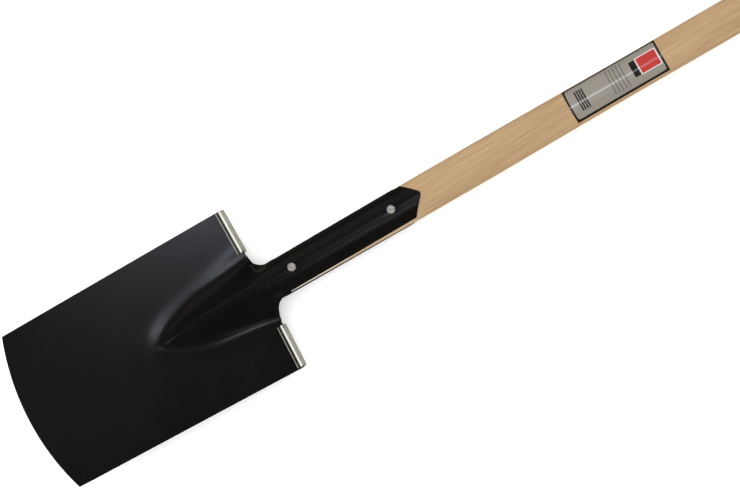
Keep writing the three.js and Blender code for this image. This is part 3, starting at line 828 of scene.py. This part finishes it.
def shaft_shape():
    """The shaft from its coned end, through the recesses for the straps, to the tenon in the crosspiece."""
    under, share, side = shaft_columns()
    across = np.sin(share * FRONT_STRAP_ANGLE_HIGH) / math.sin(FRONT_STRAP_ANGLE_HIGH)
    front_end = front_strap_end(np.where(under == UNDER_FRONT, across, 1)) + CLEARANCE
    back_end = BACK_STRAP_LENGTH - BACK_STRAP_END_ROUND * (1 - share) ** 4 + CLEARANCE
    end = np.where(under == UNDER_BACK, back_end, front_end)
    strip_start = BACK_NECK_LENGTH + 2 * CLEARANCE
    cosine = np.cos(column_turns(GRIP_AXIS, under, share, side))

    def ring(x, radius):
        turns = column_turns(x, under, share, side)
        return points_of(x, radius * np.sin(turns), radius * np.cos(turns))

    def recessed(x, slack=0):
        return np.where(under == BARE_STRIP, strip_radius(x, side), recess_radius(x) - slack)

    def from_grip_axis(grip_radius, radius):
        """How far from the crosspiece's axis the columns of a round bar meet a round about that axis."""
        return np.sqrt(grip_radius**2 - (radius * cosine) ** 2)

    cone_share = (strip_start + SHAFT_END_DEPTH) / (SHAFT_CONE_TOP + SHAFT_END_DEPTH)
    cone_radius = mix(SHAFT_END_RADIUS, recess_radius(SHAFT_CONE_TOP), cone_share)
    rings = [ring(-SHAFT_END_DEPTH, SHAFT_END_RADIUS), ring(strip_start, cone_radius)]
    start = strip_start + RECESS_WALL
    rings.append(ring(start, recessed(start, CLEARANCE)))
    for s in np.linspace(0.02, 1, 40):
        x = mix(start, end, s)
        rings.append(ring(x, recessed(x)))
    rings.append(ring(end + RECESS_WALL, SHAFT_RADIUS_LOW))
    top = FRONT_STRAP_LENGTH + 2 * RECESS_WALL
    rings += [ring(mix(end + RECESS_WALL, top, s), SHAFT_RADIUS_LOW) for s in (0.5, 1)]
    low = np.linspace(top, SHAFT_TAPER_START, 6)[1:]
    high = np.linspace(SHAFT_TAPER_START, SHAFT_STRAIGHT_END, 60)[1:]
    cope = GRIP_AXIS - from_grip_axis(GRIP_RADIUS + CLEARANCE, GRIP_NECK_RADIUS)
    last = [mix(SHAFT_STRAIGHT_END, cope, s) for s in np.linspace(0, 1, 13)[1:]]
    rings += [ring(x, shaft_radius(x)) for x in [*low, *high, *last]]
    rings.append(ring(GRIP_AXIS - from_grip_axis(GRIP_RADIUS + CLEARANCE, TENON_RADIUS), TENON_RADIUS))
    for radius in TENON_RADIUS * np.array(TENON_END_SHARES):
        rings.append(ring(GRIP_AXIS + from_grip_axis(GRIP_RADIUS, radius), radius))
    return loft(rings)


def wedge_cutter():
    """The slot that the wedge is driven into."""
    top = WEDGE_TOP_THICKNESS / 2 + CLEARANCE
    tip = WEDGE_TIP_THICKNESS / 2 + CLEARANCE
    width = TENON_RADIUS + OVERRUN
    low = SHAFT_LENGTH - WEDGE_DEPTH - CLEARANCE
    high = SHAFT_LENGTH + OVERRUN
    rings = [[(low, -tip, z), (high, -top, z), (high, top, z), (low, tip, z)] for z in (-width, width)]
    return new_object("wedge_slot_cutter", loft(rings))


def cut_pin_hole(piece):
    cut(piece, rod("pin_drill", "z", (GRIP_AXIS, 0, 0), PIN_RADIUS + CLEARANCE, 2 * (GRIP_RADIUS + OVERRUN)))


def add_shaft(material):
    piece = new_object("shaft_bar", shaft_shape())
    cut(piece, wedge_cutter())
    cut_pin_hole(piece)
    smooth(piece, angle=35)
    finish_piece(piece, material, "shaft")


# T-grip

def rounded_end(half, radius, rounding, steps):
    """The rounded edge of a turned bar, from its end face to its side: (place, radius) pairs."""
    turns = np.linspace(0, math.pi / 2, steps + 1)
    return [(half - rounding * (1 - math.cos(t)), radius - rounding * (1 - math.sin(t))) for t in turns]


def mirrored(profile):
    return [(-place, radius) for place, radius in profile[::-1]]


def grip_profile():
    """The crosspiece is a little thicker in its middle."""
    half = GRIP_LENGTH / 2
    end = rounded_end(half, GRIP_END_RADIUS, GRIP_END_ROUND, 10)
    barrel = [(s * (half - GRIP_END_ROUND), mix(GRIP_RADIUS, GRIP_END_RADIUS, s**2))
              for s in np.linspace(1, 0, 25)[1:]]
    return [*end, *barrel, *mirrored([*end, *barrel[:-1]])]


def add_grip(material):
    """The crosspiece's own X axis, and so its grain, runs along Y."""
    place = Matrix.Translation((GRIP_AXIS * MM, 0, 0)) @ Matrix.Rotation(math.pi / 2, 4, "Z")
    piece = new_object("grip_bar", turned(grip_profile(), 96), place)
    length = 2 * (GRIP_RADIUS + OVERRUN)
    cut(piece, rod("grip_drill", "x", (GRIP_AXIS, 0, 0), TENON_RADIUS + CLEARANCE, length, pieces=96))
    cut_pin_hole(piece)
    smooth(piece, angle=35)
    finish_piece(piece, material, "grip_crosspiece")


def add_pin(material):
    half = GRIP_RADIUS - CLEARANCE
    end = [(half, PIN_FACE_RADIUS), *rounded_end(half, PIN_RADIUS, PIN_END_ROUND, 6)]
    place = Matrix.Translation((GRIP_AXIS * MM, 0, 0)) @ Matrix.Rotation(-math.pi / 2, 4, "Y")
    piece = new_object("grip_pin_rod", turned([*end, *mirrored(end)], 32), place)
    smooth(piece)
    finish_piece(piece, material, "grip_pin")


def dress_wedge(material):
    """The wedge keeps its CAD shape."""
    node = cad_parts["grip_wedge"]
    node.data.materials.clear()
    node.data.materials.append(material)


# Label

def add_label(material):
    x = np.linspace(LABEL_PLACE, LABEL_PLACE + LABEL_LENGTH, 61)[:, None]
    turns = np.linspace(-1, 1, 61)[None, :] * LABEL_ANGLE
    radius = shaft_radius(x) + LABEL_LIFT + LABEL_THICKNESS
    rows = points_of(x, radius * np.sin(turns), radius * np.cos(turns))
    piece = new_object("label_foil", formed_sheet(rows, lambda points: LABEL_THICKNESS))
    smooth(piece)
    finish_piece(piece, material, "label")


# Material nodes

NOISE_LOW, NOISE_HIGH = 0.3, 0.7


class Graph:
    """A material's node tree, with a short call for each kind of node that gives the node's output."""

    def __init__(self, name):
        self.material = bpy.data.materials.new(name)
        self.material.use_nodes = True
        self.tree = self.material.node_tree
        self.shader = self.tree.nodes["Principled BSDF"]

    def add(self, kind, inputs=None, output=0, **settings):
        node = self.tree.nodes.new(kind)
        for key, value in settings.items():
            setattr(node, key, value)
        for key, value in (inputs or {}).items():
            self.set(node.inputs[key], value)
        return node.outputs[output]

    def set(self, socket, value):
        if isinstance(value, bpy.types.NodeSocket):
            self.tree.links.new(value, socket)
        else:
            socket.default_value = value

    def surface(self, **inputs):
        """Sets the shader's own sockets; an underscore in a name stands for a space."""
        for key, value in inputs.items():
            self.set(self.shader.inputs[key.replace("_", " ")], value)
        return self.material

    def coordinates(self, scale=(1, 1, 1), offset=(0, 0, 0), turn=0):
        """The piece's own coordinates in metres, turned in plan by turn and then stretched by scale."""
        own = self.add("ShaderNodeTexCoord", output="Object")
        turned_own = self.add("ShaderNodeMapping", {"Vector": own, "Rotation": (0, 0, turn)})
        return self.add("ShaderNodeMapping", {"Vector": turned_own, "Scale": scale, "Location": offset})

    def noise(self, vector, scale=1, detail=2, roughness=0.5):
        inputs = {"Vector": vector, "Scale": scale, "Detail": detail, "Roughness": roughness}
        return self.add("ShaderNodeTexNoise", inputs)

    def math(self, operation, a, b=0.0, clamp=False):
        return self.add("ShaderNodeMath", {0: a, 1: b}, operation=operation, use_clamp=clamp)

    def length(self, **parts):
        """The length of a vector with these X, Y and Z parts."""
        vector = self.add("ShaderNodeCombineXYZ", parts)
        return self.add("ShaderNodeVectorMath", {0: vector}, output="Value", operation="LENGTH")

    def spread(self, value, low, high, to_low=0.0, to_high=1.0, kind="LINEAR"):
        """Maps low to to_low and high to to_high, clamped."""
        inputs = {"Value": value, "From Min": low, "From Max": high, "To Min": to_low, "To Max": to_high}
        return self.add("ShaderNodeMapRange", inputs, interpolation_type=kind)

    def tone(self, noise, to_low=0.0, to_high=1.0):
        """Spreads a noise's usual values."""
        return self.spread(noise, NOISE_LOW, NOISE_HIGH, to_low, to_high)

    def blend(self, share, a, b):
        """A colour between a and b, from the node's own sockets for colours."""
        factor, first, second, result = 0, 6, 7, 2
        inputs = {factor: share, first: a, second: b}
        return self.add("ShaderNodeMix", inputs, output=result, data_type="RGBA")

    def bump(self, height, distance, normal=None):
        """Bump of a real height in metres, where height is 0 to 1."""
        inputs = {"Height": height, "Distance": distance, "Strength": 1.0}
        if normal is not None:
            inputs["Normal"] = normal
        return self.add("ShaderNodeBump", inputs)

    def split(self, vector):
        node = self.tree.nodes.new("ShaderNodeSeparateXYZ")
        self.set(node.inputs[0], vector)
        return node.outputs


def grey(value):
    return (value, value, value, 1)


def black_steel():
    """Black powder coat over pressed steel."""
    g = Graph("black_coat")
    dark, light = (0.0018, 0.0016, 0.0014, 1), (0.0026, 0.0024, 0.0022, 1)
    place = g.coordinates()
    cloud = g.noise(place, scale=22, detail=4, roughness=0.6)
    grain = g.noise(place, scale=900, detail=3, roughness=0.6)
    peel = g.noise(place, scale=520)
    speck = g.noise(g.coordinates(offset=(0.3, 0.1, 0.2)), scale=420, detail=1)
    speck_share = g.math("MULTIPLY", g.spread(speck, 0.74, 0.8), 0.12)
    colour = g.blend(speck_share, g.blend(g.spread(cloud, 0.35, 0.65), dark, light), grey(0.05))
    roughness = g.math("ADD", g.tone(cloud, 0.22, 0.26), g.tone(grain, -0.02, 0.02))
    normal = g.bump(grain, 0.006 * MM, g.bump(peel, 0.02 * MM))
    return g.surface(Base_Color=colour, Roughness=roughness, Normal=normal)


def bright_steel():
    """Bare drawn steel of the treads, with fine lines along them, painted shade in the groove beside the lip
    and a painted highlight along the roll.
    """
    g = Graph("drawn_steel")
    dark, light = (0.41, 0.40, 0.34, 1), (0.51, 0.50, 0.43, 1)
    # Near-white for a painted highlight along the roll, near-black for painted shade in the groove
    highlight_colour, shade_colour = (0.95, 0.94, 0.88, 1), (0.005, 0.004, 0.002, 1)
    place = g.coordinates()
    x = g.split(place)[0]
    lines = g.noise(g.coordinates((2600, 30, 2600)), detail=3, roughness=0.6)
    cloud = g.noise(place, scale=60, detail=3)

    def band(centre, half, fade):
        """A band along the tread, in millimetres past the shoulder edge."""
        reach = g.math("ABSOLUTE", g.math("SUBTRACT", x, centre * MM))
        return g.spread(reach, half * MM, (half + fade) * MM, 1.0, 0.0)

    # Painted shade: a near-black, non-metal band in the groove between the lip and the roll
    groove_shade = band(TREAD_GROOVE_PLACE, TREAD_GROOVE_HALF_WIDTH, fade=0.15)
    # Painted highlight: a near-white, non-metal band along the roll
    roll_highlight = band(TREAD_HIGHLIGHT_PLACE, TREAD_HIGHLIGHT_HALF_WIDTH, fade=0.6)
    colour = g.blend(roll_highlight, g.blend(g.spread(cloud, 0.35, 0.65), dark, light), highlight_colour)
    colour = g.blend(groove_shade, colour, shade_colour)
    plain = g.math("SUBTRACT", 1.0, g.math("MAXIMUM", groove_shade, roll_highlight))
    return g.surface(Base_Color=colour, Metallic=g.math("MULTIPLY", plain, 0.5),
                     Roughness=g.tone(lines, 0.28, 0.4), Normal=g.bump(lines, 0.01 * MM))


def rivet_steel():
    """Bright zinc, with a darker mark in the middle of each rivet's head."""
    g = Graph("rivet_steel")
    dark, light = (0.54, 0.53, 0.49, 1), (0.80, 0.79, 0.75, 1)
    place = g.coordinates()
    x, y = g.split(place)[:2]
    cloud = g.noise(place, scale=400, detail=3)
    mark = g.spread(g.length(X=x, Y=y), RIVET_MARK_RADIUS * MM / 2, RIVET_MARK_RADIUS * MM, 0.6, 0.0)
    colour = g.blend(mark, g.blend(g.spread(cloud, 0.35, 0.65), dark, light), grey(0.12))
    return g.surface(Base_Color=colour, Metallic=0.7, Roughness=g.tone(cloud, 0.24, 0.36),
                     Normal=g.bump(g.noise(place, scale=900), 0.02 * MM))


def ash_wood(name, offset, light, dark, painted_light=None):
    """Ash grained along its own X axis, painted paler towards the shaft's foot as painted light on the strip
    between the straps.
    """
    g = Graph(name)

    def fibrous(along, across, detail, roughness=0.5):
        """Noise with its own scales along the grain and across it."""
        stretched = g.coordinates((along, across, across), offset, GRAIN_TURN)
        return g.noise(stretched, detail=detail, roughness=roughness)

    x, y, z = g.split(g.coordinates(offset=offset, turn=GRAIN_TURN))
    reach = g.length(Y=g.math("ADD", y, PITH_BESIDE), Z=g.math("ADD", z, PITH_BELOW))
    sway = g.math("MULTIPLY", fibrous(1.6, 7, 2), RING_SWAY)
    ring = g.math("FRACT", g.math("ADD", g.math("MULTIPLY", reach, RINGS_PER_METRE), sway))
    early = g.spread(ring, 0.0, 0.4, 1.0, 0.0, "SMOOTHSTEP")
    late = g.spread(ring, 0.75, 1.0, 0.0, 0.5)
    pores = g.spread(fibrous(240, 3600, 2, 0.7), 0.5, 0.68)
    fibres = fibrous(12, 900, 4, 0.75)
    cloud = fibrous(5, 45, 3)
    tone = g.math("ADD", g.math("MULTIPLY", early, 0.22), g.math("MULTIPLY", late, 0.16))
    tone = g.math("ADD", tone, g.tone(fibres, 0.0, 0.85))
    tone = g.math("ADD", tone, g.tone(cloud, 0.0, 0.34), clamp=True)
    colour = g.blend(tone, light, dark)
    # Painted light: a paler colour towards the shaft's foot, where the strip between the straps shows
    if painted_light:
        faded = g.spread(x, PAINTED_LIGHT_START * MM, PAINTED_LIGHT_FADED * MM, 1.0, PAINTED_LIGHT_REST, "SMOOTHSTEP")
        ended = g.spread(x, (PAINTED_LIGHT_END - PAINTED_LIGHT_END_FADE) * MM, PAINTED_LIGHT_END * MM, 1.0, 0.0)
        colour = g.blend(g.math("MULTIPLY", faded, ended), colour, painted_light)
    pore_share = g.math("MULTIPLY", g.math("MULTIPLY", early, pores), 0.4)
    colour = g.blend(pore_share, colour, tuple(c * 0.55 for c in dark[:3]) + (1,))
    height = g.math("SUBTRACT", g.math("MULTIPLY", fibres, 0.4), pore_share)
    return g.surface(Base_Color=colour, Roughness=g.tone(fibres, 0.5, 0.64),
                     Normal=g.bump(height, 0.05 * MM))


def label_foil():
    """Silver foil with a black border, a red panel with a pale rim, a black bar, thin rules and stripes."""
    g = Graph("printed_foil")
    dark, light, red_ink = (0.33, 0.305, 0.26, 1), (0.42, 0.395, 0.345, 1), (0.42, 0.012, 0.008, 1)
    half_length = LABEL_LENGTH / 2
    half_width = LABEL_ANGLE * SHAFT_RADIUS_HIGH
    x, y, z = g.split(g.coordinates())
    along = g.math("SUBTRACT", x, (LABEL_PLACE + half_length) * MM)
    across = g.math("MULTIPLY", g.math("ARCTAN2", y, z), SHAFT_RADIUS_HIGH * MM)

    def within(reach, half):
        """1 where a reach is less than half a width in millimetres, with a soft edge."""
        return g.spread(reach, (half - PRINT_BLUR) * MM, (half + PRINT_BLUR) * MM, 1.0, 0.0)

    def past(value, straight):
        """How far a value lies past a straight part of the border, on either side of 0."""
        return g.math("MAXIMUM", g.math("SUBTRACT", g.math("ABSOLUTE", value), straight * MM), 0.0)

    def panel(centre, half, across_half):
        from_centre = g.math("ABSOLUTE", g.math("SUBTRACT", along, centre * MM))
        return g.math("MULTIPLY", within(from_centre, half), within(g.math("ABSOLUTE", across), across_half))

    def ruled(first, step, count, half, across_half):
        """Lines across the label, from a first one up the shaft."""
        lines = panel(first, half, across_half)
        for number in range(1, count):
            lines = g.math("MAXIMUM", lines, panel(first + step * number, half, across_half))
        return lines

    past_end = past(along, half_length - LABEL_END_BORDER - LABEL_CORNER_ROUND)
    past_side = past(across, half_width - LABEL_SIDE_BORDER - LABEL_CORNER_ROUND)
    inside = within(g.length(X=past_end, Y=past_side), LABEL_CORNER_ROUND)
    red = panel(LABEL_RED_PLACE, LABEL_RED_HALF, LABEL_PRINT_HALF)
    rim = panel(LABEL_RED_PLACE, LABEL_RED_HALF + LABEL_RIM, LABEL_PRINT_HALF + LABEL_RIM)
    rim = g.math("SUBTRACT", rim, red, clamp=True)
    black_bar = panel(LABEL_BAR_PLACE, LABEL_BAR_HALF, LABEL_PRINT_HALF)
    stripes = ruled(LABEL_STRIPES, LABEL_STRIPE_STEP, LABEL_STRIPE_COUNT,
                    LABEL_STRIPE_HALF, LABEL_STRIPE_REACH)
    ink = g.math("MAXIMUM", g.math("MAXIMUM", stripes, black_bar), g.math("SUBTRACT", 1.0, inside))
    rules = ruled(LABEL_RULES, LABEL_RULE_STEP, LABEL_RULE_COUNT, LABEL_RULE_HALF, LABEL_RULE_REACH)
    brushed = g.noise(g.coordinates((60, 3000, 3000)), detail=3)
    colour = g.blend(g.tone(brushed), dark, light)
    colour = g.blend(g.math("MULTIPLY", rules, 0.7), colour, grey(0.06))
    for share, print_colour in ((red, red_ink), (rim, grey(0.75)), (ink, grey(0.004))):
        colour = g.blend(share, colour, print_colour)
    print_share = g.math("MAXIMUM", g.math("MAXIMUM", red, rim), ink)
    coat = g.spread(along, -half_length * MM, half_length * MM, 0.06, 0.2)
    return g.surface(Base_Color=colour, Metallic=g.spread(print_share, 0, 1, 0.45, 0.0),
                     Roughness=g.tone(brushed, 0.34, 0.46), Coat_Weight=1.0, Coat_Roughness=coat,
                     Normal=g.bump(g.noise(g.coordinates((50, 160, 160))), 0.08 * MM))


# Stage

def add_floor():
    """A pale floor with a faint glow of its own."""
    g = Graph("pale_floor")
    shade = g.tone(g.noise(g.coordinates(), scale=1.5))
    material = g.surface(Base_Color=g.blend(shade, grey(0.9), grey(0.93)), Roughness=0.7,
                         Emission_Color=grey(1.0), Emission_Strength=FLOOR_GLOW)
    bpy.ops.mesh.primitive_plane_add(size=FLOOR_WIDTH)
    floor = bpy.context.object
    floor.name = "floor"
    floor.data.materials.append(material)
    floor.visible_glossy = False


def add_light(name, azimuth, elevation, size, power, colour, distance=LIGHT_DISTANCE):
    """A soft round light turned to the shoulder; angles in degrees, size in metres and power in watts."""
    turn, rise = math.radians(azimuth), math.radians(elevation)
    away = Vector((math.cos(rise) * math.cos(turn), math.cos(rise) * math.sin(turn), math.sin(rise)))
    data = bpy.data.lights.new(name, "AREA")
    data.shape = "DISK"
    data.size = size
    data.energy = power
    data.color = colour
    light = bpy.data.objects.new(name, data)
    light.location = SHOULDER + away * distance
    light.rotation_mode = "QUATERNION"
    light.rotation_quaternion = (-away).to_track_quat("-Z", "Y")
    light.visible_camera = False
    bpy.context.scene.collection.objects.link(light)


def add_room():
    """A dim warm room round the stage, which only reflections see."""
    material = Graph("dim_room").surface(Base_Color=grey(0), Emission_Color=(1.0, 0.87, 0.7, 1),
                                         Emission_Strength=ROOM_GLOW)
    bpy.ops.mesh.primitive_ico_sphere_add(subdivisions=3, radius=ROOM_RADIUS)
    room = bpy.context.object
    room.name = "room"
    room.data.materials.append(material)
    room.visible_camera = False
    room.visible_diffuse = False
    room.visible_shadow = False


def add_lights():
    """A pale world that stays out of reflections, and soft lights for the sheen on steel."""
    add_light("overhead", azimuth=336, elevation=85, size=0.6, power=4.8, colour=(0.82, 0.86, 1.0))
    add_light("right", azimuth=270, elevation=60, size=0.9, power=0.5, colour=(0.84, 0.88, 1.0))
    add_light("left", azimuth=90, elevation=40, size=3, power=3.4, colour=(1.0, 0.96, 0.9))
    add_light("toe_side", azimuth=135, elevation=77, size=0.8, power=0.2, colour=(0.85, 0.88, 1.0))
    add_light("toe_end", azimuth=180, elevation=38, size=2, power=5.3, colour=(0.92, 0.94, 1.0))
    add_light("strap_sheen", azimuth=288, elevation=62, size=0.36, power=0.15, colour=(0.88, 0.9, 1.0),
              distance=SHEEN_DISTANCE)
    world = bpy.data.worlds.new("studio")
    world.use_nodes = True
    back = world.node_tree.nodes["Background"]
    back.inputs["Color"].default_value = (1.0, 0.99, 0.97, 1)
    back.inputs["Strength"].default_value = WORLD_STRENGTH
    world.cycles_visibility.glossy = False
    bpy.context.scene.world = world


def add_camera():
    data = bpy.data.cameras.new("camera")
    data.lens = CAMERA_LENS
    data.sensor_width = SENSOR_WIDTH
    data.clip_end = VIEW_END
    camera = bpy.data.objects.new("camera", data)
    camera.location = SHOULDER + Vector(CAMERA_PLACE) * MM
    camera.rotation_euler = [math.radians(turn) for turn in CAMERA_TURN]
    bpy.context.scene.collection.objects.link(camera)
    bpy.context.scene.camera = camera


def main():
    add_camera()
    add_floor()
    add_room()
    add_lights()
    coat = black_steel()
    add_blade(coat)
    add_back_strap(coat)
    add_welds(coat)
    add_treads(bright_steel())
    rivets = rivet_steel()
    add_rivets(rivets)
    add_pin(rivets)
    add_shaft(ash_wood("ash_shaft", (0, 0, 0), ASH_LIGHT, ASH_DARK, ASH_PAINTED_LIGHT))
    add_grip(ash_wood("ash_grip", (0.4, 0.013, 0.02), ASH_LIGHT, ASH_DARK))
    dress_wedge(ash_wood("ash_wedge", (0.9, 0.04, 0.01), WEDGE_LIGHT, WEDGE_DARK))
    add_label(label_foil())
    bpy.context.scene.view_settings.view_transform = "Standard"


main()
